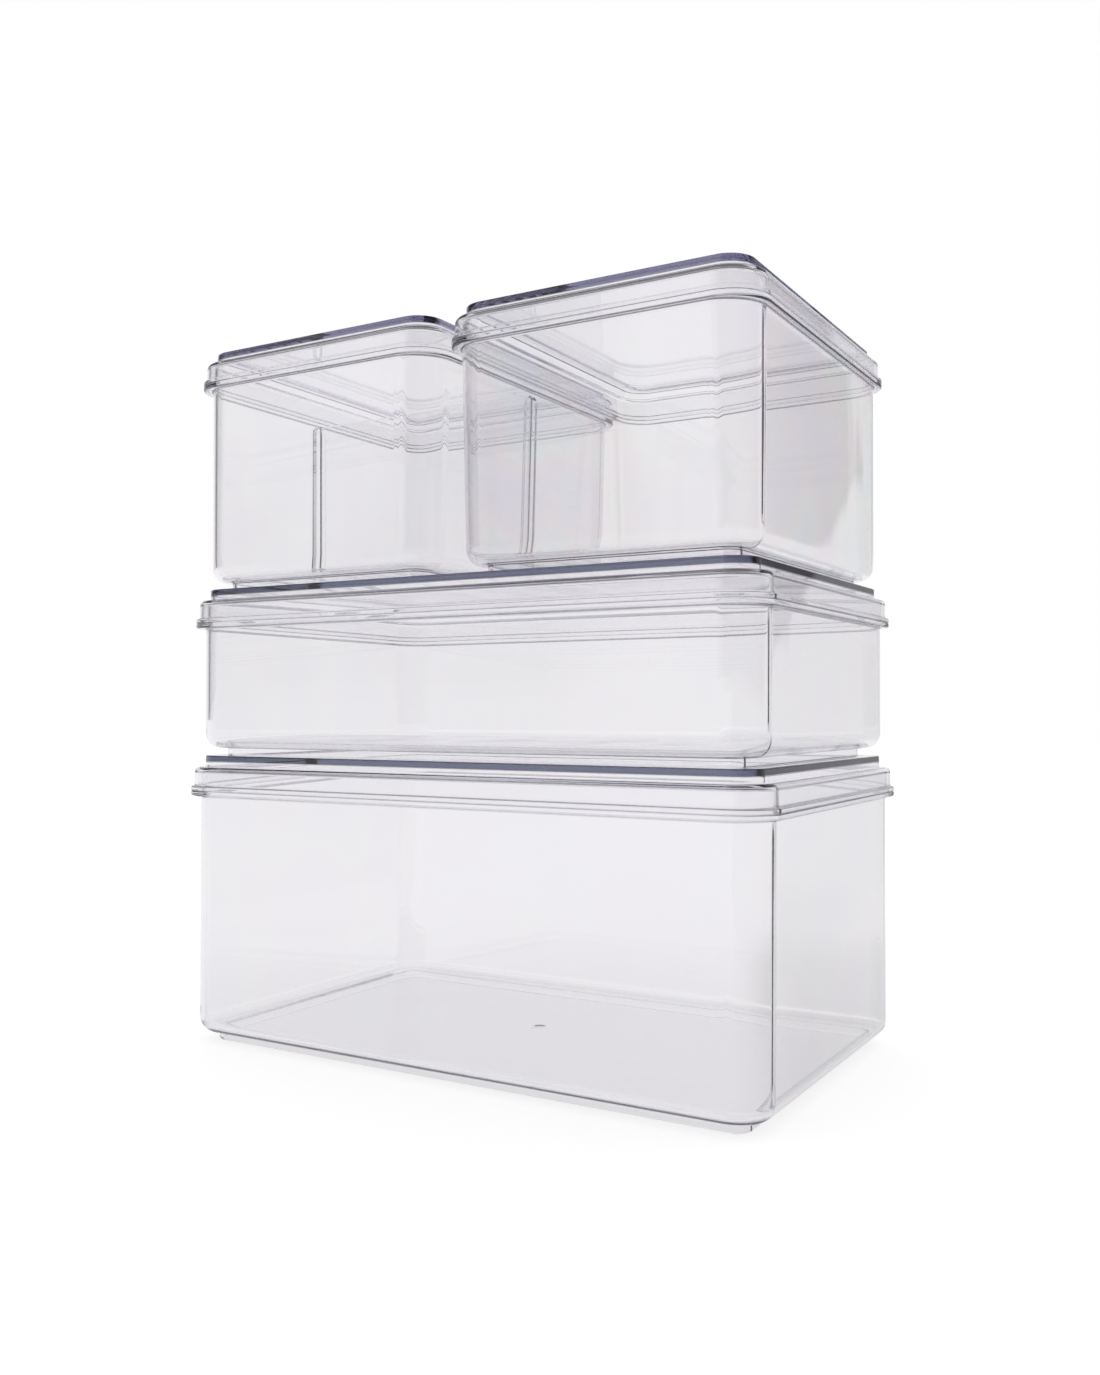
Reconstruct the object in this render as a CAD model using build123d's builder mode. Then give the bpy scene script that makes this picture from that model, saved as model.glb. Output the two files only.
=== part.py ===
from build123d import *
import os

# A set of four clear stackable fridge bins: a deep tub, a shallow tub of the same footprint and
# two half-length tubs, each with its own lift-off lid. The left half-length tub holds a loose
# divider.
# Millimetres. X runs along the long side, Y along the depth (front at -Y), Z up.
# The origin is the centre of the footprint on the plane the stack stands on.

# ---- driving dimensions ----
collar_length = 320.0       # outside of the full-length lid's collar, along X
collar_width = 197.0        # outside of every lid's collar, along Y
small_collar_length = 156.8 # outside of the half-length lid's collar
small_gap = 6.8             # between the collars of the two half-length lids
corner_radius = 18.5        # of the collar outline, seen from above

large_height = 143.5        # foot to lid top
medium_height = 86.9
small_height = 128.4
recess_depth = 0.4          # the foot of the bin above stands in this recess

# lid section, as insets from the collar outline and drops from the lid top
panel_inset = 5.3           # raised panel edge inside the collar
panel_thickness = 3.0
panel_rise = 5.9            # raised panel above the shoulder
shoulder_thickness = 1.8
collar_thickness = 1.5
collar_drop = 15.6          # lid top down to the lid's out-turned lip
lid_lip_thickness = 2.3
lip_out = 1.6               # both lips stand this far outside the collar
recess_inset = 14.4
recess_slope = 2.9          # run of the slope down into the recess

# tub section
lip_clearance = 0.1         # between the lid's lip and the tub's lip
tub_lip_thickness = 2.6
rim_drop = 8.5              # lid top down to the top of the tub's upstanding rim
wall_inset = 2.0            # outside of the tub wall, inside the collar outline
wall_thickness = 1.8
wall_draft = 0.027          # mm inwards for each mm down
floor_thickness = 2.0
foot_height = 4.2
foot_inset = 15.0           # outside of the foot ring, inside the collar outline
foot_thickness = 1.8
bottom_radius = 8.0
floor_radius = 3.0

# overlap of the swept sections with the flat tub floor and the sunk lid panel
section_ledge = 0.6         # the section reaches this far in past the foot ring or recess edge
floor_start = 0.3           # the flat floor starts this far in from the foot ring
panel_start = 0.45          # the sunk panel starts this far in from the recess edge

# divider and its guides
divider_thickness = 2.0
divider_top = 106.9         # above the foot of the tub
divider_lift = 0.1          # clearance above the floor
divider_end_clearance = 0.35
divider_low_radius = 7.0
divider_top_radius = 1.5
divider_top_chamfer = 0.3
guide_slot = 2.6
guide_width = 4.6           # of each of the two pads beside the slot
guide_proud = 2.4
guide_root = 1.0            # the pads start this far inside the wall
guide_top_radius = 4.0

# marks left by moulding on the floor of each tub
gate_diameter = 10.0
gate_depth = 0.35
ejector_diameter = 9.0
ejector_spacing = 0.775     # of half the length, either side of the middle
ejector_depth = 0.2

# ---- derived positions ----
medium_base = large_height - recess_depth
small_base = medium_base + medium_height - recess_depth
small_centre = (small_gap + small_collar_length) / 2
half_x, half_y = collar_length / 2, collar_width / 2
small_half_x = small_collar_length / 2
floor_z = foot_height + floor_thickness     # top of the floor, above the foot
floor_inset = foot_inset + foot_thickness + floor_start
sunk_panel_inset = recess_inset + panel_start

large_plane = Plane.XY
medium_plane = Plane.XY.offset(medium_base)
left_plane = Plane((-small_centre, 0, small_base))
right_plane = Plane((small_centre, 0, small_base))


def tub_lip_top(height):
    """Height of the top of a tub's lip, just under the lid's lip."""
    return height - collar_drop - lid_lip_thickness - lip_clearance


def small_inner_half(z):
    """Half-length inside a half-length tub at height z, the end walls drafted below the lip."""
    lip_low = tub_lip_top(small_height) - tub_lip_thickness
    return small_half_x - wall_inset - wall_thickness - wall_draft * (lip_low - z)


def tub_corners(height):
    """Corners of a tub's wall section: (outset from the collar outline, height), rounding."""
    rim_z = height - rim_drop
    lip_top = tub_lip_top(height)
    lip_low = lip_top - tub_lip_thickness
    foot_out = -foot_inset
    foot_in = foot_out - foot_thickness
    ledge_in = foot_in - section_ledge
    low_out = -wall_inset - wall_draft * (lip_low - foot_height)
    return [
        ((-wall_inset, rim_z), 0.6),
        ((-wall_inset, lip_top), 0.0),
        ((lip_out, lip_top), 0.5),
        ((lip_out, lip_low), 1.2),
        ((-wall_inset, lip_low), 0.8),
        ((low_out, foot_height), bottom_radius),
        ((foot_out, foot_height), 0.0),
        ((foot_out, 0.0), 1.0),
        ((foot_in, 0.0), 0.6),
        ((foot_in, foot_height), 0.0),
        ((ledge_in, foot_height), 0.0),
        ((ledge_in, floor_z), 0.0),
        ((low_out - wall_thickness, floor_z), floor_radius),
        ((-wall_inset - wall_thickness, rim_z), 0.6),
    ]


def lid_corners(top):
    """Corners of a lid's edge section: (outset from the collar outline, height), rounding."""
    shoulder = top - panel_rise
    shoulder_low = shoulder - shoulder_thickness
    lip_top = top - collar_drop
    lip_low = lip_top - lid_lip_thickness
    panel_low = top - panel_thickness
    recess_z = top - recess_depth
    riser_in = -panel_inset - shoulder_thickness
    ledge_in = -recess_inset - section_ledge
    return [
        ((-recess_inset + recess_slope, top), 0.0),
        ((-panel_inset, top), 0.7),
        ((-panel_inset, shoulder), 0.6),
        ((0.0, shoulder), 2.4),
        ((0.0, lip_top), 0.8),
        ((lip_out, lip_top), 0.7),
        ((lip_out, lip_low), 0.6),
        ((-collar_thickness, lip_low), 0.4),
        ((-collar_thickness, shoulder_low), 1.2),
        ((riser_in, shoulder_low), 2.4),
        ((riser_in, panel_low), 0.6),
        ((ledge_in, panel_low), 0.0),
        ((ledge_in, recess_z), 0.0),
        ((-recess_inset, recess_z), 0.0),
    ]


def collar_run(plane, half_length):
    """Closed rounded rectangle that the sections follow, starting at the front's middle."""
    straight_x = 2 * half_length - 2 * corner_radius
    straight_y = collar_width - 2 * corner_radius
    with BuildLine(plane) as run:
        front = Line((0, -half_y), (half_length - corner_radius, -half_y))
        front_right = JernArc(front @ 1, front % 1, corner_radius, 90)
        right = Line(front_right @ 1, (front_right @ 1) + (front_right % 1) * straight_y)
        back_right = JernArc(right @ 1, right % 1, corner_radius, 90)
        back = Line(back_right @ 1, (back_right @ 1) + (back_right % 1) * straight_x)
        back_left = JernArc(back @ 1, back % 1, corner_radius, 90)
        left = Line(back_left @ 1, (back_left @ 1) + (back_left % 1) * straight_y)
        front_left = JernArc(left @ 1, left % 1, corner_radius, 90)
        Line(front_left @ 1, front @ 0)
    return run.wire()


def section_plane(plane):
    """Upright plane at the middle of the front; its x points outwards from the collar outline."""
    return Plane(plane.origin + (0, -half_y, 0), x_dir=(0, -1, 0), z_dir=(-1, 0, 0))


def make_tub(plane, half_length, height, guides=False):
    """Tub standing on plane; guides adds the divider guides of a left half-length tub."""
    run = collar_run(plane, half_length)
    corners = tub_corners(height)
    with BuildPart() as tub:
        with BuildSketch(section_plane(plane)) as section:
            with BuildLine():
                Polyline(*[point for point, rounding in corners], close=True)
            make_face()
            for point, rounding in corners:
                if rounding:
                    fillet(section.vertices().sort_by_distance((*point, 0))[0], rounding)
        sweep(path=run)
        # floor inside the foot ring
        with BuildSketch(plane.offset(foot_height)):
            RectangleRounded(
                2 * half_length - 2 * floor_inset,
                collar_width - 2 * floor_inset,
                corner_radius - floor_inset,
            )
        extrude(amount=floor_thickness)
        # gate mark in the middle and two ejector marks, all shallow, on top of the floor
        with BuildSketch(plane.offset(floor_z)):
            Circle(gate_diameter / 2)
        extrude(amount=-gate_depth, mode=Mode.SUBTRACT)
        ejector_x = ejector_spacing * half_length
        with BuildSketch(plane.offset(floor_z)):
            with Locations((-ejector_x, 0), (ejector_x, 0)):
                Circle(ejector_diameter / 2)
        extrude(amount=-ejector_depth, mode=Mode.SUBTRACT)
        if guides:
            # two pads on each end wall, tilted by the draft, with the divider's slot between
            guide_length = divider_top - floor_z
            pad_offset = (guide_slot + guide_width) / 2
            for side in (-1, 1):
                wall_x = -small_centre + side * small_inner_half(floor_z)
                guide_plane = Plane(
                    (wall_x, 0, small_base + floor_z),
                    x_dir=(0, -side, 0),
                    z_dir=(-side, 0, wall_draft),
                )
                with BuildSketch(guide_plane.offset(-guide_root)) as pads:
                    with Locations((pad_offset, guide_length / 2), (-pad_offset, guide_length / 2)):
                        Rectangle(guide_width, guide_length)
                    # round only the two outermost top corners
                    tops = pads.vertices().group_by(Axis.Y)[-1].sort_by(Axis.X)
                    fillet([tops[0], tops[-1]], guide_top_radius)
                extrude(amount=guide_proud + guide_root)
    return tub.part


def make_lid(plane, half_length, height):
    """Lid whose top is at height above plane, the foot of its bin."""
    run = collar_run(plane, half_length)
    corners = lid_corners(height)
    with BuildPart() as lid:
        with BuildSketch(section_plane(plane)) as section:
            with BuildLine():
                Polyline(*[point for point, rounding in corners], close=True)
            make_face()
            for point, rounding in corners:
                if rounding:
                    fillet(section.vertices().sort_by_distance((*point, 0))[0], rounding)
        sweep(path=run)
        # panel, sunk by the recess that takes the foot of the bin above
        with BuildSketch(plane.offset(height - panel_thickness)):
            RectangleRounded(
                2 * half_length - 2 * sunk_panel_inset,
                collar_width - 2 * sunk_panel_inset,
                corner_radius - sunk_panel_inset,
            )
        extrude(amount=panel_thickness - recess_depth)
    return lid.part


def make_divider():
    """Flat panel with drafted ends, standing just above the floor between the guides."""
    low_z = floor_z + divider_lift
    half_top = small_inner_half(divider_top) - divider_end_clearance
    half_low = small_inner_half(low_z) - divider_end_clearance
    panel_plane = Plane((-small_centre, 0, small_base), x_dir=(1, 0, 0), z_dir=(0, -1, 0))
    with BuildPart() as divider:
        with BuildSketch(panel_plane) as panel:
            with BuildLine():
                Polyline(
                    (-half_low, low_z),
                    (half_low, low_z),
                    (half_top, divider_top),
                    (-half_top, divider_top),
                    close=True,
                )
            make_face()
            fillet(panel.vertices().group_by(Axis.Y)[0], divider_low_radius)
            fillet(panel.vertices().group_by(Axis.Y)[-1], divider_top_radius)
        extrude(amount=divider_thickness / 2, both=True)
        chamfer(divider.edges().group_by(Axis.Z)[-1], divider_top_chamfer)
    return divider.part


pieces = {
    "large_tub": make_tub(large_plane, half_x, large_height),
    "large_lid": make_lid(large_plane, half_x, large_height),
    "medium_tub": make_tub(medium_plane, half_x, medium_height),
    "medium_lid": make_lid(medium_plane, half_x, medium_height),
    "small_tub_left": make_tub(left_plane, small_half_x, small_height, guides=True),
    "small_lid_left": make_lid(left_plane, small_half_x, small_height),
    "small_tub_right": make_tub(right_plane, small_half_x, small_height),
    "small_lid_right": make_lid(right_plane, small_half_x, small_height),
    "divider": make_divider(),
}

os.makedirs("parts", exist_ok=True)
for name, piece in pieces.items():
    piece.label = name
    export_step(piece, f"parts/{name}.step")
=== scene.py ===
"""Clear plastic storage tubs with lids: one large, one medium and two small.

The left small tub holds a divider. X runs left to right, the front faces -Y, Z is up
and the ground is at z = 0. Every piece is centred on y = 0 and takes its place along X,
its width and its heights from the CAD box of its node.
"""
import math

import bmesh
import bpy
from mathutils import Matrix, Vector


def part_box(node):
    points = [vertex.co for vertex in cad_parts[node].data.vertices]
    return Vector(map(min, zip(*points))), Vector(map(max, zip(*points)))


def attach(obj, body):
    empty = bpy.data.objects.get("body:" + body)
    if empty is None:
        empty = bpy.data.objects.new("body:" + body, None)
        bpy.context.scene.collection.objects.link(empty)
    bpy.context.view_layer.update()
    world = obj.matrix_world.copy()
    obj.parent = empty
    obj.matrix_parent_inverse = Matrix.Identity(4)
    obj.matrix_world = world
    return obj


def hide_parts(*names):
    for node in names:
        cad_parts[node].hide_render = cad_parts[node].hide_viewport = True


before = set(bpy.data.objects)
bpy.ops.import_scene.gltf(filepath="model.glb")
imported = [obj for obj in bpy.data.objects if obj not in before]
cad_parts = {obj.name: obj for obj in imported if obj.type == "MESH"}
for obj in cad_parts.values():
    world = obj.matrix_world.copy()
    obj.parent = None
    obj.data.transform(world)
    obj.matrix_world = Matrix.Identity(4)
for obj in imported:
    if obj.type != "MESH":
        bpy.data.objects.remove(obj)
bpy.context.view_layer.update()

# ------------------------------------------------------------------ sizes (millimetres)
MM = 0.001                  # metres in a millimetre

# Collar outline shared by tubs and lids; section offsets are measured outwards from it.
COLLAR_DEPTH = 197.0        # along Y
COLLAR_R = 18.5             # corner radius
LIP_OUT = 1.6               # lips of tub and lid, outside the collar
LIP_GAP = 0.1               # between the two lips

# Lid
PANEL_INSET, PANEL_T, PANEL_RISE = 5.3, 3.0, 5.9
SHOULDER_T = 1.8
COLLAR_T, COLLAR_DROP = 1.5, 15.6       # drop from lid top to the top of the lid lip
LID_LIP_T = 2.3
RECESS_IN, RECESS_DEPTH = 14.4, 0.4     # shallow recess in the lid top
RECESS_RAMP = 2.9                       # width of the slope into the recess

# Tub
TUB_LIP_T = 2.6
RIM_DROP = 8.5              # rim above the top of the tub's CAD box
WALL_IN, WALL_T = 2.0, 1.8
DRAFT = 0.027               # inward lean of the wall per unit of height
WALL_R = 20.3               # corner radius of the wall at the rim
BEND_THIN = 0.22            # most wall thickness lost through a bend
FOOT_H, FOOT_IN, FOOT_T = 4.2, 15.0, 1.8
FLOOR_T = 2.0
FLOOR_TOP = FOOT_H + FLOOR_T
BOTTOM_R, FLOOR_R = 8.0, 3.0            # outer and inner fillets at the floor
UPPER_LIFT = 0.06           # foot clearance of a tub that stands above the ground
GATE_R_LOW, GATE_R_HIGH, GATE_HALF_H = 4.6, 7.4, 0.5    # cone that cuts the gate dish

# Divider and the guide pads either side of its slot
DIV_TOP, DIV_T = 106.9, 2.0
DIV_END = 0.35              # clearance at each end
DIV_LIFT = 0.1              # clearance over the floor
DIV_EDGE_R = 0.85
GUIDE_SLOT, GUIDE_W, GUIDE_PROUD = 2.6, 4.6, 2.4
GUIDE_TOP_R, GUIDE_SLOT_R = 4.0, 0.4
GUIDE_SLOPE = 1.2           # lean of the outer side and the top
GUIDE_SINK, GUIDE_BURY = 1.0, 0.9       # overlap with the floor and with the wall

# Mesh resolution
ARC_STEPS, SIDE_STEPS = 45, 6
HELPER = 8                  # reach of the extra point that aims the start of a section


# ------------------------------------------------------------------ section and sweep tools
def rounded(corners, step=7.5):
    """Turn corners ((x, y), radius) into points, with arcs of about `step` degrees a segment."""
    points = []
    for i, ((x, y), radius) in enumerate(corners):
        corner = Vector((x, y))
        if radius <= 0:
            points.append((corner.x, corner.y))
            continue
        back = Vector(corners[i - 1][0]) - corner
        ahead = Vector(corners[(i + 1) % len(corners)][0]) - corner
        back.normalize()
        ahead.normalize()
        angle = math.acos(max(-1, min(1, back.dot(ahead))))
        tangent = radius / math.tan(angle / 2)
        centre = corner + (back + ahead).normalized() * (radius / math.sin(angle / 2))
        start, end = corner + back * tangent, corner + ahead * tangent
        first = math.atan2(start.y - centre.y, start.x - centre.x)
        last = math.atan2(end.y - centre.y, end.x - centre.x)
        turn = (last - first + math.pi) % (2 * math.pi) - math.pi
        count = max(2, int(math.ceil(abs(math.degrees(turn)) / step)))
        for k in range(count + 1):
            t = first + turn * k / count
            points.append((centre.x + radius * math.cos(t), centre.y + radius * math.sin(t)))
    kept = [points[0]]
    for point in points[1:]:
        if (Vector(point) - Vector(kept[-1])).length > 1e-5:
            kept.append(point)
    return kept


def ease(start, end, x):
    t = max(0.0, min(1.0, (x - start) / (end - start)))
    return t * t * (3 - 2 * t)


def outline_ring(half_x, offset, radius, thin):
    """Rounded rectangle `offset` outside the collar, counter-clockwise from the front right.

    `thin` swells each arc outwards, unevenly along the bend.
    """
    radius = max(radius, 0.8)
    reach_x = half_x + offset - radius
    reach_y = COLLAR_DEPTH / 2 + offset - radius
    arcs = []
    for side_x, side_y, start in ((1, -1, -90), (1, 1, 0), (-1, 1, 90), (-1, -1, 180)):
        arc = []
        for k in range(ARC_STEPS + 1):
            along = 90 * k / ARC_STEPS
            t = math.radians(start + along)
            swell = ease(7, 20, along) * (1 - 0.2 * ease(20, 76, along))
            swell *= 1 - ease(77, 88, along)
            r = radius + thin * swell
            arc.append((side_x * reach_x + r * math.cos(t), side_y * reach_y + r * math.sin(t)))
        arcs.append(arc)
    points = []
    for i, arc in enumerate(arcs):
        points += arc
        (x0, y0), (x1, y1) = arc[-1], arcs[(i + 1) % 4][0]
        for k in range(1, SIDE_STEPS):
            t = k / SIDE_STEPS
            points.append((x0 + (x1 - x0) * t, y0 + (y1 - y0) * t))
    return points


def circle(centre_x, radius, count=40):
    angles = [2 * math.pi * k / count for k in range(count)]
    return [(centre_x + radius * math.cos(t), radius * math.sin(t)) for t in angles]


def mesh_object(name, bm):
    mesh = bpy.data.meshes.new(name)
    bm.to_mesh(mesh)
    bm.free()
    ob = bpy.data.objects.new(name, mesh)
    bpy.context.scene.collection.objects.link(ob)
    return ob


def skin(bm, rings):
    """Join rings of (x, y, z) in millimetres with quads; return the two end loops."""
    loops = [[bm.verts.new((x * MM, y * MM, z * MM)) for x, y, z in ring] for ring in rings]
    count = len(loops[0])
    for a, b in zip(loops, loops[1:]):
        for i in range(count):
            j = (i + 1) % count
            bm.faces.new((a[i], a[j], b[j], b[i]))
    return loops[0], loops[-1]


def shell(name, rings):
    """Closed body through the rings, capped by a flat face at each end."""
    bm = bmesh.new()
    for loop in skin(bm, rings):
        bm.faces.new(loop)
    bmesh.ops.recalc_face_normals(bm, faces=bm.faces)
    return mesh_object(name, bm)


def sweep(name, half_x, section, centre, base, corner):
    """Carry a section round the outline; corner(i, offset, z) gives radius and thinning."""
    rings = []
    for i, (offset, z) in enumerate(section):
        ring = outline_ring(half_x, offset, *corner(i, offset, z))
        rings.append([(centre + x, y, base + z) for x, y in ring])
    return shell(name, rings)


def tapered_prism(name, lower, upper, z0, z1, matrix=None):
    """Closed solid between two outlines with equal point counts, for a boolean."""
    bm = bmesh.new()
    bottom, top = skin(bm, [[(x, y, z0) for x, y in lower], [(x, y, z1) for x, y in upper]])
    bm.faces.new(list(reversed(bottom)))
    bm.faces.new(top)
    bmesh.ops.triangulate(bm, faces=[face for face in bm.faces if len(face.verts) == 4])
    if matrix is not None:
        bm.transform(matrix)
    bmesh.ops.recalc_face_normals(bm, faces=bm.faces)
    return mesh_object(name, bm)


def apply_boolean(ob, other, operation):
    """Exact boolean, applied, with the helper object removed."""
    modifier = ob.modifiers.new("cut", "BOOLEAN")
    modifier.operation = operation
    modifier.solver = "EXACT"
    modifier.object = other
    depsgraph = bpy.context.evaluated_depsgraph_get()
    mesh = bpy.data.meshes.new_from_object(ob.evaluated_get(depsgraph))
    ob.modifiers.remove(modifier)
    old = ob.data
    # a failed boolean can return only a scrap of the body
    if len(mesh.vertices) < 0.9 * len(old.vertices):
        raise RuntimeError(ob.name + ": the cut lost the body")
    ob.data = mesh
    mesh.name = ob.name
    bpy.data.meshes.remove(old)
    bpy.data.objects.remove(other, do_unlink=True)


def finish_mesh(ob, sharp_angle=38):
    """Weld, smooth with real edges kept, and let large flat faces own the normals."""
    bm = bmesh.new()
    bm.from_mesh(ob.data)
    bmesh.ops.remove_doubles(bm, verts=bm.verts, dist=2e-7)
    bmesh.ops.dissolve_degenerate(bm, edges=bm.edges, dist=1e-7)
    for face in bm.faces:
        face.smooth = True
    limit = math.radians(sharp_angle)
    for edge in bm.edges:
        edge.smooth = not (len(edge.link_faces) == 2 and edge.calc_face_angle(0) > limit)
    bm.to_mesh(ob.data)
    bm.free()
    normals = ob.modifiers.new("normals", "WEIGHTED_NORMAL")
    normals.mode = "FACE_AREA"
    normals.weight = 60
    normals.keep_sharp = True


# ------------------------------------------------------------------ places
def place(node_name):
    """Centre along X, bottom, top and collar half width of a node, in millimetres."""
    low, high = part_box(node_name)
    half = (high[0] - low[0]) / 2 * 1000 - LIP_OUT
    return (low[0] + high[0]) / 2 * 1000, low[2] * 1000, high[2] * 1000, half


def tub_lip_top(height):
    return height - COLLAR_DROP - LID_LIP_T - LIP_GAP


def inner_wall(half, height, z):
    """Distance from the tub's centre to the inside of its end wall at height z."""
    return half - WALL_IN - WALL_T - DRAFT * (tub_lip_top(height) - TUB_LIP_T - z)


# ------------------------------------------------------------------ tubs
def tub_section(height, lift, floor_r):
    """Open section from the floor up the inside, over the rim and down to the foot."""
    rim = height - RIM_DROP
    lip_top = tub_lip_top(height)
    lip_low = lip_top - TUB_LIP_T
    low = -WALL_IN - DRAFT * (lip_low - FOOT_H)
    rows = [FOOT_H + 10, FOOT_H + 12, FOOT_H + 15] + [lip_top - 10 + 2.5 * k for k in range(5)]
    inside = [
        ((low - WALL_T + (low + WALL_IN) * (FLOOR_TOP - z) / (rim - FLOOR_TOP), z), 0)
        for z in rows
    ]
    # (offset from the collar, height), fillet radius
    return rounded([
        ((-FOOT_IN - HELPER, FLOOR_TOP), 0),
        ((low - WALL_T, FLOOR_TOP), floor_r),
        *inside,
        ((-WALL_IN - WALL_T, rim), 0.6),
        ((-WALL_IN, rim), 0.6),
        ((-WALL_IN, lip_top), 0.25),
        ((LIP_OUT, lip_top), 0.5),
        ((LIP_OUT, lip_low), 1.2),
        ((-WALL_IN, lip_low), 0.8),
        ((low, FOOT_H), BOTTOM_R),
        ((-FOOT_IN, FOOT_H), 0.3),
        ((-FOOT_IN, lift), 1.0),
        ((-FOOT_IN - FOOT_T, lift), 0.6),
        ((-FOOT_IN - FOOT_T, FOOT_H), 0),
    ])[1:]


def add_guides(tub, centre, base, half, height):
    """Two upright pads on each end wall, leaving a slot for the divider."""
    top = DIV_TOP - FLOOR_TOP
    narrow = 1 - GUIDE_SLOPE / GUIDE_W
    shorter = 1 - GUIDE_SLOPE / (top + GUIDE_SINK)
    for side in (-1, 1):
        wall_x = centre + side * inner_wall(half, height, FLOOR_TOP)
        # pad axes: across the wall, up the draft, and into the tub
        across = Vector((0, 1, 0))
        up = Vector((side * DRAFT, 0, 1)).normalized()
        inward = Vector((-side, 0, DRAFT)).normalized()
        matrix = Matrix((across, up, inward)).transposed().to_4x4()
        matrix.translation = (wall_x * MM, 0, (base + FLOOR_TOP) * MM)
        for s in (-1, 1):
            near, far = s * GUIDE_SLOT / 2, s * (GUIDE_SLOT / 2 + GUIDE_W)
            root = rounded([
                ((near, -GUIDE_SINK), 0),
                ((far, -GUIDE_SINK), 0),
                ((far, top), GUIDE_TOP_R),
                ((near, top), GUIDE_SLOT_R),
            ])
            # the outer side and the top lean in towards the slot
            crown = [
                (near + (x - near) * narrow, -GUIDE_SINK + (y + GUIDE_SINK) * shorter)
                for x, y in root
            ]
            pad = tapered_prism("pad", root, crown, -GUIDE_BURY, GUIDE_PROUD, matrix)
            apply_boolean(tub, pad, "UNION")


def cut_gate_dish(tub, centre, base):
    """Shallow round dish in the top of the floor."""
    z = base + FLOOR_TOP
    cone = tapered_prism("gate", circle(centre, GATE_R_LOW), circle(centre, GATE_R_HIGH),
                         z - GATE_HALF_H, z + GATE_HALF_H)
    apply_boolean(tub, cone, "DIFFERENCE")


def make_tub(node_name, guides=False):
    centre, base, top, half = place(node_name)
    height = top - base + RIM_DROP
    lip_top = tub_lip_top(height)
    if base < 1:    # stands on the ground
        section = tub_section(height, 0.0, FLOOR_R)
    else:
        section = tub_section(height, UPPER_LIFT, BOTTOM_R - WALL_T)
    crest = max(range(len(section)), key=lambda i: section[i][1])

    def corner(i, offset, z):
        if i > crest:
            # outside: the radius eases from the wall's to the collar's across the lip
            t = max(0.0, min(1.0, (offset + WALL_IN) / (LIP_OUT + WALL_IN)))
            return (WALL_R + WALL_IN) * (1 - t) + COLLAR_R * t + offset, 0.0
        # inside: the wall runs a little thin through each bend, between floor and lip
        rise = ease(FOOT_H + 7, FOOT_H + 14, z) * (1 - ease(lip_top - 4, lip_top, z))
        return WALL_R + WALL_IN + offset, BEND_THIN * rise

    tub = sweep(node_name + "_shell", half, section, centre, base, corner)
    if guides:
        add_guides(tub, centre, base, half, height)
    cut_gate_dish(tub, centre, base)
    finish_mesh(tub)
    return tub


# ------------------------------------------------------------------ lids
def lid_section(top):
    """Open section from under the panel, down inside the collar and back up to the recess."""
    shoulder = top - PANEL_RISE
    lip = top - COLLAR_DROP
    # (offset from the collar, height), fillet radius
    return rounded([
        ((-RECESS_IN - HELPER, top - PANEL_T), 0),
        ((-PANEL_INSET - SHOULDER_T, top - PANEL_T), 0.6),
        ((-PANEL_INSET - SHOULDER_T, shoulder - SHOULDER_T), 2.4),
        ((-COLLAR_T, shoulder - SHOULDER_T), 1.2),
        ((-COLLAR_T, lip - LID_LIP_T), 0.4),
        ((LIP_OUT, lip - LID_LIP_T), 0.6),
        ((LIP_OUT, lip), 0.7),
        ((0.0, lip), 0.8),
        ((0.0, shoulder), 2.4),
        ((-PANEL_INSET, shoulder), 0.6),
        ((-PANEL_INSET, top), 0.7),
        ((-RECESS_IN + RECESS_RAMP, top), 0),
        ((-RECESS_IN, top - RECESS_DEPTH), 0),
        ((-RECESS_IN - 0.3, top - RECESS_DEPTH), 0),
    ])[1:]


def make_lid(node_name):
    centre, _, top, half = place(node_name)
    lid = sweep(node_name + "_shell", half, lid_section(top), centre, 0.0,
                lambda i, offset, z: (COLLAR_R + offset, 0.0))
    finish_mesh(lid)
    return lid


# ------------------------------------------------------------------ divider
def make_divider():
    """Upright panel along X in the left small tub, with a round edge all the way along."""
    centre, base, tub_top, half = place("small_tub_left")
    height = tub_top - base + RIM_DROP
    low = FLOOR_TOP + DIV_LIFT
    bottom_x, top_x = [inner_wall(half, height, z) - DIV_END for z in (low, DIV_TOP)]
    face = rounded([
        ((-bottom_x, low), 7.0),
        ((bottom_x, low), 7.0),
        ((top_x, DIV_TOP), 1.5),
        ((-top_x, DIV_TOP), 1.5),
    ], step=6)
    # (y, inset) of the stacked outlines, front to back
    profile = []
    for degrees in (90, 72, 54, 36, 18, 0):
        t = math.radians(degrees)
        profile.append((-DIV_T / 2 + DIV_EDGE_R * (1 - math.sin(t)),
                        DIV_EDGE_R * (1 - math.cos(t))))
    profile += [(-y, inset) for y, inset in reversed(profile)]
    middle, half_h = (low + DIV_TOP) / 2, (DIV_TOP - low) / 2
    rings = []
    for y, inset in profile:
        scale_x = (bottom_x - inset) / bottom_x
        scale_z = (half_h - inset) / half_h
        rings.append([
            (centre + x * scale_x, y, base + middle + (z - middle) * scale_z)
            for x, z in face
        ])
    panel = shell("divider_panel", rings)
    finish_mesh(panel)
    return panel


# ------------------------------------------------------------------ shader tools
def clear_tree(owner):
    """Empty node tree of a material or world."""
    owner.use_nodes = True
    owner.node_tree.nodes.clear()
    return owner.node_tree


def add_node(tree, kind, inputs=None, **settings):
    """Add a shader node; each input takes a value or another node's output socket."""
    node = tree.nodes.new("ShaderNode" + kind)
    for name, value in settings.items():
        setattr(node, name, value)
    for key, value in (inputs or {}).items():
        if isinstance(value, bpy.types.NodeSocket):
            tree.links.new(value, node.inputs[key])
        else:
            node.inputs[key].default_value = value
    return node


def calc(tree, operation, *values):
    return add_node(tree, "Math", dict(enumerate(values)), operation=operation).outputs[0]


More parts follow.
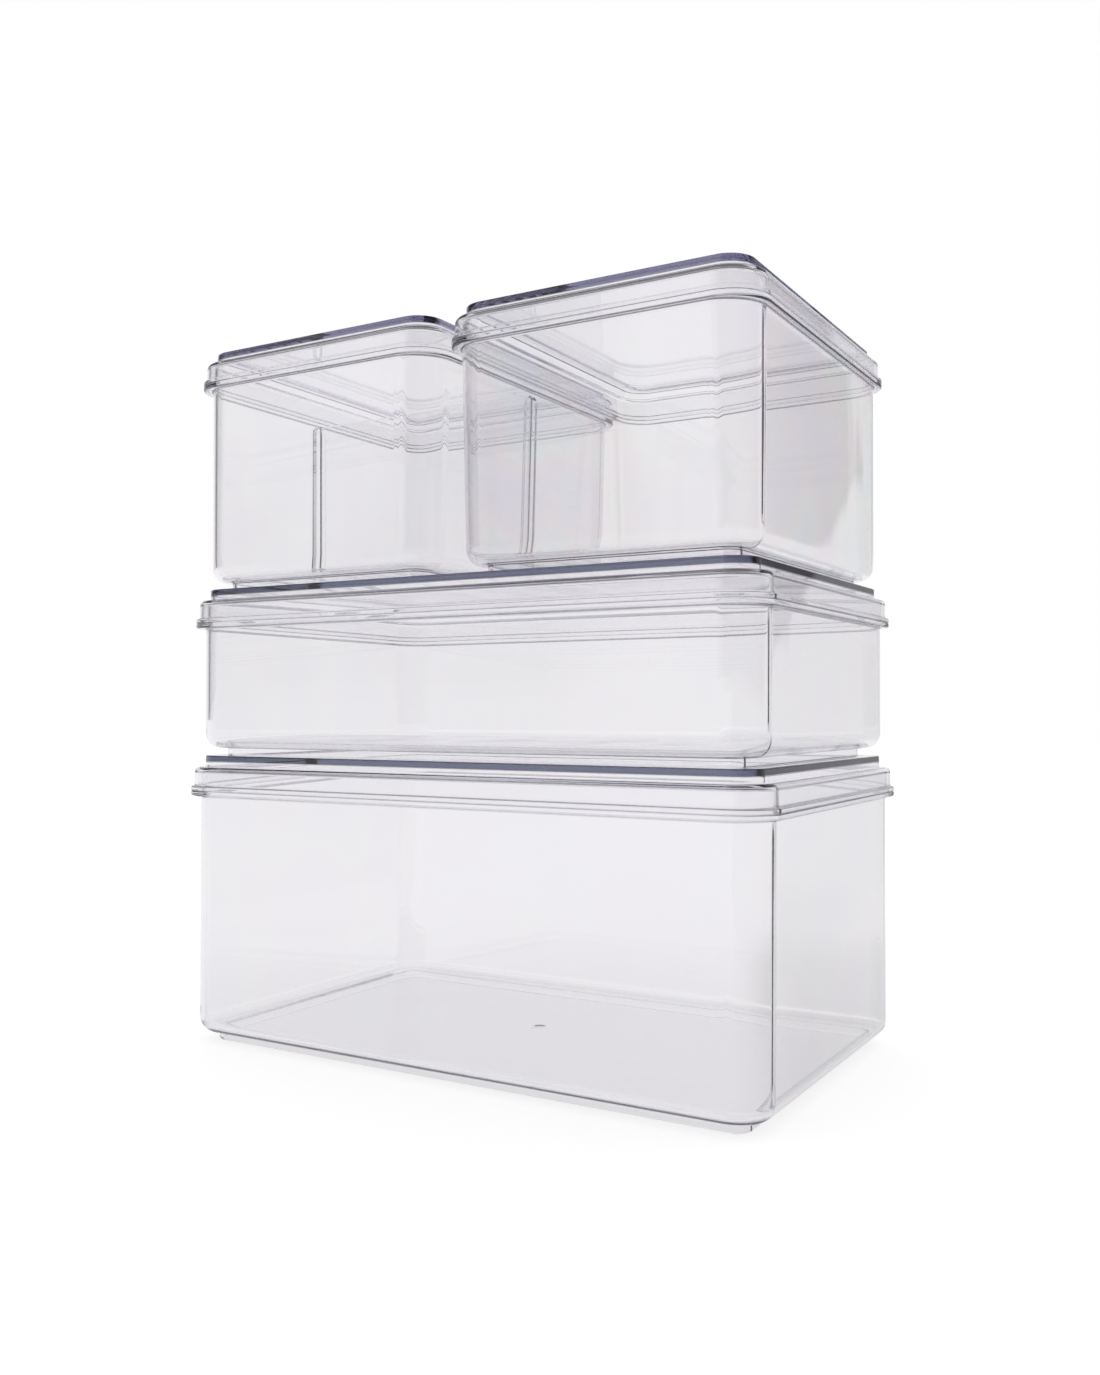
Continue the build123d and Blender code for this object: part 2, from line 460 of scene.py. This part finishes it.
def remap(tree, value, span, to, kind="SMOOTHSTEP"):
    """Map the span of input values onto the `to` pair, clamped."""
    return add_node(tree, "MapRange", {
        "Value": value,
        "From Min": span[0], "From Max": span[1],
        "To Min": to[0], "To Max": to[1],
    }, interpolation_type=kind).outputs["Result"]


def blend(tree, factor, a, b, kind="RGBA"):
    inputs = {"Factor": factor, "A": a, "B": b}
    return add_node(tree, "Mix", inputs, data_type=kind).outputs["Result"]


def noise(tree, vector, **values):
    inputs = {"Vector": vector, **{key.title(): value for key, value in values.items()}}
    return add_node(tree, "TexNoise", inputs).outputs["Fac"]


def colour_ramp(tree, value, stops, interpolation="LINEAR"):
    """Ramp through stops (position, colour) that run from 0 to 1."""
    node = add_node(tree, "ValToRGB", {"Fac": value})
    node.color_ramp.interpolation = interpolation
    elements = node.color_ramp.elements
    elements[0].color = (*stops[0][1], 1)
    elements[1].color = (*stops[-1][1], 1)
    for position, colour in stops[1:-1]:
        elements.new(position).color = (*colour, 1)
    return node.outputs["Color"]


def to_camera(tree, vector, kind):
    """X, Y and Z of a world vector in camera space, where Z is the depth."""
    turned = add_node(tree, "VectorTransform", {0: vector}, vector_type=kind,
                      convert_from="WORLD", convert_to="CAMERA")
    return add_node(tree, "SeparateXYZ", {0: turned.outputs[0]}).outputs


# ------------------------------------------------------------------ plastics
IOR = 1.585
DENSITY = 10.0              # of the absorption
TINT = (0.990, 0.9885, 0.991)
TUB_ABSORB = (0.10, 0.14, 0.34)
LONG_LID_ABSORB = (0.04, 0.08, 0.28)
SHORT_LID_ABSORB = (0.32, 0.33, 0.53)
STRESS_COLOURS = (          # position, colour
    (0.0, (0.80, 0.90, 1.0)),
    (0.35, (0.86, 1.0, 0.92)),
    (0.5, (1.0, 0.97, 0.84)),
    (0.65, (1.0, 0.84, 0.86)),
    (1.0, (0.86, 0.86, 1.0)),
)


def clear_plastic(name, absorb, flow, pastel, seed=0.0):
    """Refracting body with absorption: `flow` sets the waves, `pastel` the stress colours."""
    material = bpy.data.materials.new(name)
    tree = clear_tree(material)
    coords = add_node(tree, "TexCoord").outputs["Object"]
    shift = (seed, seed * 0.7, seed * 1.3)
    shifted = add_node(tree, "Mapping", {"Vector": coords, "Location": shift}).outputs[0]

    # slow moulding waves, long in Z
    tall = add_node(tree, "Mapping", {"Vector": shifted, "Scale": (26, 26, 9)}).outputs[0]
    waves = noise(tree, tall, scale=1.0, detail=1.5, roughness=0.4)
    bump = add_node(tree, "Bump", {"Height": waves, "Strength": flow, "Distance": 0.00035})

    # polished, with faint hazy patches
    haze = noise(tree, shifted, scale=14, detail=3)
    roughness = remap(tree, haze, span=(0.35, 0.75), to=(0.0, 0.005), kind="LINEAR")

    # a very weak hue drift, strongest on faces that look along X
    drift = noise(tree, shifted, scale=17, detail=1)
    spread = remap(tree, drift, span=(0.32, 0.68), to=(0.0, 1.0), kind="LINEAR")
    stress = colour_ramp(tree, spread, STRESS_COLOURS, "B_SPLINE")
    normal = add_node(tree, "NewGeometry").outputs["True Normal"]
    normal_x = add_node(tree, "SeparateXYZ", {0: normal}).outputs["X"]
    sideways = calc(tree, "ABSOLUTE", normal_x)
    amount = remap(tree, sideways, span=(0.6, 0.95), to=(pastel * 0.15, pastel), kind="LINEAR")

    glass = add_node(tree, "BsdfGlass", {
        "IOR": IOR,
        "Roughness": roughness,
        "Normal": bump.outputs["Normal"],
        "Color": blend(tree, amount, (*TINT, 1), stress),
    }, distribution="GGX")
    volume = add_node(tree, "VolumeAbsorption", {"Color": (*absorb, 1), "Density": DENSITY})
    add_node(tree, "OutputMaterial", {"Surface": glass.outputs[0], "Volume": volume.outputs[0]})
    return material


tub_clear = clear_plastic("tub_clear", TUB_ABSORB, flow=0.25, pastel=0.04)
tub_stress = clear_plastic("tub_clear_stress", TUB_ABSORB, flow=0.25, pastel=0.12, seed=0.4)
lid_clear = clear_plastic("lid_clear", LONG_LID_ABSORB, flow=0.05, pastel=0.02, seed=1.1)
small_lid_clear = clear_plastic("small_lid_clear", SHORT_LID_ABSORB,
                                flow=0.05, pastel=0.02, seed=1.7)
divider_clear = clear_plastic("divider_clear", TUB_ABSORB, flow=0.15, pastel=0.02, seed=2.3)

# ------------------------------------------------------------------ pieces
# node: (object, material, slot)
pieces = {
    "large_tub": (make_tub("large_tub"), tub_clear, "tub_plastic"),
    "large_lid": (make_lid("large_lid"), lid_clear, "lid_plastic"),
    "medium_tub": (make_tub("medium_tub"), tub_clear, "tub_plastic"),
    "medium_lid": (make_lid("medium_lid"), lid_clear, "lid_plastic"),
    "small_tub_left": (make_tub("small_tub_left", guides=True), tub_clear, "tub_plastic"),
    "small_lid_left": (make_lid("small_lid_left"), small_lid_clear, "lid_plastic"),
    "small_tub_right": (make_tub("small_tub_right"), tub_stress, "tub_plastic"),
    "small_lid_right": (make_lid("small_lid_right"), small_lid_clear, "lid_plastic"),
    "divider": (make_divider(), divider_clear, "divider_plastic"),
}
for node_name, (ob, material, slot) in pieces.items():
    ob.data.materials.clear()
    ob.data.materials.append(material)
    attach(ob, node_name)
    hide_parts(node_name)

# ------------------------------------------------------------------ floor
FLOOR_HALF, FLOOR_Z = 6.0, -0.0003      # metres
FLOOR_GLOW = 0.70           # emission that lights and shows through the plastic
FLOOR_SEEN = 0.82           # emission the camera sees directly
DEPTH_MARK = (0, 0, 0.1)    # point that floor depth is measured from, metres


def floor_glow(tree, position):
    """Emission strength with painted light and shade: bright under and past the object, dimmer
    on the camera's side.
    """
    depth = calc(tree, "SUBTRACT", to_camera(tree, position, "POINT")[2],
                 to_camera(tree, DEPTH_MARK, "POINT")[2])
    level = remap(tree, depth, span=(-0.30, -0.16), to=(FLOOR_GLOW * 0.9, FLOOR_GLOW))
    spot = to_camera(tree, position, "POINT")
    slant = calc(tree, "DIVIDE", spot[0], calc(tree, "MAXIMUM", spot[2], 0.01))
    # painted shade far to the right, and a lighter painted shade on the near floor right of the
    # middle
    right = remap(tree, slant, span=(0.42, 0.60), to=(1.0, 0.66))
    level = calc(tree, "MULTIPLY", level, right)
    aside = remap(tree, slant, span=(0.15, 0.21), to=(0.0, 0.22))
    near = remap(tree, spot[2], span=(0.80, 1.0), to=(1.0, 0.0))
    shade = calc(tree, "MULTIPLY", aside, near)
    return calc(tree, "MULTIPLY", level, calc(tree, "SUBTRACT", 1.0, shade))


def floor_white():
    """Glowing white paper with a fine grain."""
    material = bpy.data.materials.new("floor_white")
    tree = clear_tree(material)
    position = add_node(tree, "NewGeometry").outputs["Position"]
    seen = add_node(tree, "LightPath").outputs["Is Camera Ray"]
    grain = noise(tree, position, scale=900)
    paper = blend(tree, grain, (0.26, 0.26, 0.262, 1), (0.28, 0.28, 0.282, 1))
    diffuse = add_node(tree, "BsdfDiffuse", {"Color": paper})
    emission = add_node(tree, "Emission", {
        "Strength": blend(tree, seen, floor_glow(tree, position), FLOOR_SEEN, kind="FLOAT"),
        "Color": blend(tree, seen, (1.0, 0.985, 1.005, 1), (1, 1, 1, 1)),
    })
    both = add_node(tree, "AddShader", {0: diffuse.outputs[0], 1: emission.outputs[0]})
    add_node(tree, "OutputMaterial", {"Surface": both.outputs[0]})
    return material


def make_floor():
    bm = bmesh.new()
    corners = ((-1, -1), (1, -1), (1, 1), (-1, 1))
    bm.faces.new([bm.verts.new((x * FLOOR_HALF, y * FLOOR_HALF, FLOOR_Z)) for x, y in corners])
    floor = mesh_object("floor", bm)
    floor.data.materials.append(floor_white())
    return floor


make_floor()

# ------------------------------------------------------------------ world
BACKDROP_EDGE = 47.15       # half width of the white backdrop, degrees
BACKDROP_BEND = 9.7         # elevation below which its edges lean outwards, degrees
BACKDROP_LEAN = 0.54        # degrees outwards per degree down
FLAG_DARKENING = 0.8
CEILING_LEVEL = 0.18        # lowest level anywhere
WORLD_TONES = (             # level, colour
    (0.0, (0.0, 0.0, 0.012)),
    (0.13, (0.126, 0.118, 0.126)),
    (0.45, (0.45, 0.445, 0.455)),
    (1.0, (1.0, 0.990, 1.004)),
)


def room_level(tree, direction, azimuth, away):
    """Mottled room beside and behind the camera, with dark flags."""
    clouds = noise(tree, direction, scale=5.5, detail=2.0)
    mottle = remap(tree, clouds, span=(0.36, 0.64), to=(0.80, 1.12))
    left_to_right = remap(tree, azimuth, span=(-20, 20), to=(0.86, 0.69))
    far = calc(tree, "MULTIPLY", left_to_right, mottle)
    sides = remap(tree, away, span=(48.5, 58), to=(0.26, far))
    # one flag on the left, and one from the right round to behind the camera
    left_flag = calc(tree, "MULTIPLY", remap(tree, azimuth, span=(-56, -50), to=(1.0, 0.0)),
                     remap(tree, azimuth, span=(-103, -97), to=(0.0, 1.0)))
    right_flag = remap(tree, azimuth, span=(84, 92), to=(0.0, 1.0))
    either = calc(tree, "MAXIMUM", left_flag, right_flag)
    flags = calc(tree, "SUBTRACT", 1.0, calc(tree, "MULTIPLY", either, FLAG_DARKENING))
    behind = remap(tree, away, span=(135, 160), to=(1.0, 0.2))
    return calc(tree, "MULTIPLY", calc(tree, "MULTIPLY", sides, behind), flags)


def studio_world():
    """White backdrop with hard edges behind the object, in a dimmer room."""
    world = bpy.data.worlds.new("studio")
    bpy.context.scene.world = world
    tree = clear_tree(world)
    direction = add_node(tree, "TexCoord").outputs["Generated"]
    view = to_camera(tree, direction, "VECTOR")
    world_z = add_node(tree, "SeparateXYZ", {0: direction}).outputs["Z"]
    # azimuth from the view direction, right positive, and elevation, both in degrees
    degrees = 180 / math.pi
    azimuth = calc(tree, "MULTIPLY", calc(tree, "ARCTAN2", view[0], view[2]), degrees)
    away = calc(tree, "ABSOLUTE", azimuth)
    elevation = calc(tree, "MULTIPLY", calc(tree, "ARCSINE", world_z), degrees)

    below = calc(tree, "MAXIMUM", calc(tree, "SUBTRACT", BACKDROP_BEND, elevation), 0.0)
    lean = calc(tree, "MULTIPLY", below, BACKDROP_LEAN)
    edge = calc(tree, "SUBTRACT", calc(tree, "SUBTRACT", away, BACKDROP_EDGE), lean)
    backdrop = calc(tree, "MULTIPLY", remap(tree, edge, span=(-0.35, 0.35), to=(1.0, 0.0)),
                    remap(tree, away, span=(34, 46), to=(0.92, 0.70)))
    walls = calc(tree, "MAXIMUM", backdrop, room_level(tree, direction, azimuth, away))
    # a dark ceiling closes the room
    below_ceiling = remap(tree, elevation, span=(32, 62), to=(1.0, 0.0))
    total = calc(tree, "MAXIMUM", calc(tree, "MULTIPLY", walls, below_ceiling), CEILING_LEVEL)
    studio = add_node(tree, "Background", {"Color": colour_ramp(tree, total, WORLD_TONES)})

    # camera and diffuse rays meet plain white
    white = add_node(tree, "Background", {"Color": (1, 1, 1, 1)})
    rays = add_node(tree, "LightPath").outputs
    plain = calc(tree, "MAXIMUM", rays["Is Camera Ray"], rays["Is Diffuse Ray"])
    mixed = add_node(tree, "MixShader", {
        "Fac": plain, 1: studio.outputs[0], 2: white.outputs[0],
    })
    add_node(tree, "OutputWorld", {"Surface": mixed.outputs[0]})


studio_world()


# ------------------------------------------------------------------ camera and render
def make_camera():
    """Camera in front and to the right, turned left and slightly up."""
    data = bpy.data.cameras.new("camera")
    camera = bpy.data.objects.new("camera", data)
    bpy.context.scene.collection.objects.link(camera)
    data.sensor_width = 36.0
    data.lens = 32.5570909
    data.shift_y = -0.0883636364
    data.clip_start, data.clip_end = 0.01, 100
    yaw, pitch = math.radians(30.70), math.radians(6.58)
    forward = Vector((-math.sin(yaw) * math.cos(pitch),
                      math.cos(yaw) * math.cos(pitch),
                      math.sin(pitch)))
    camera.location = (0.34004, -0.56319, 0.16722)
    camera.rotation_mode = "QUATERNION"
    camera.rotation_quaternion = forward.to_track_quat("-Z", "Y")
    bpy.context.scene.camera = camera


make_camera()

scene = bpy.context.scene
scene.view_settings.view_transform = "Standard"
# light crosses many clear walls
scene.cycles.max_bounces = 72
scene.cycles.transmission_bounces = 72
scene.cycles.glossy_bounces = 72
scene.cycles.diffuse_bounces = 3
scene.cycles.transparent_max_bounces = 16
scene.cycles.volume_bounces = 0
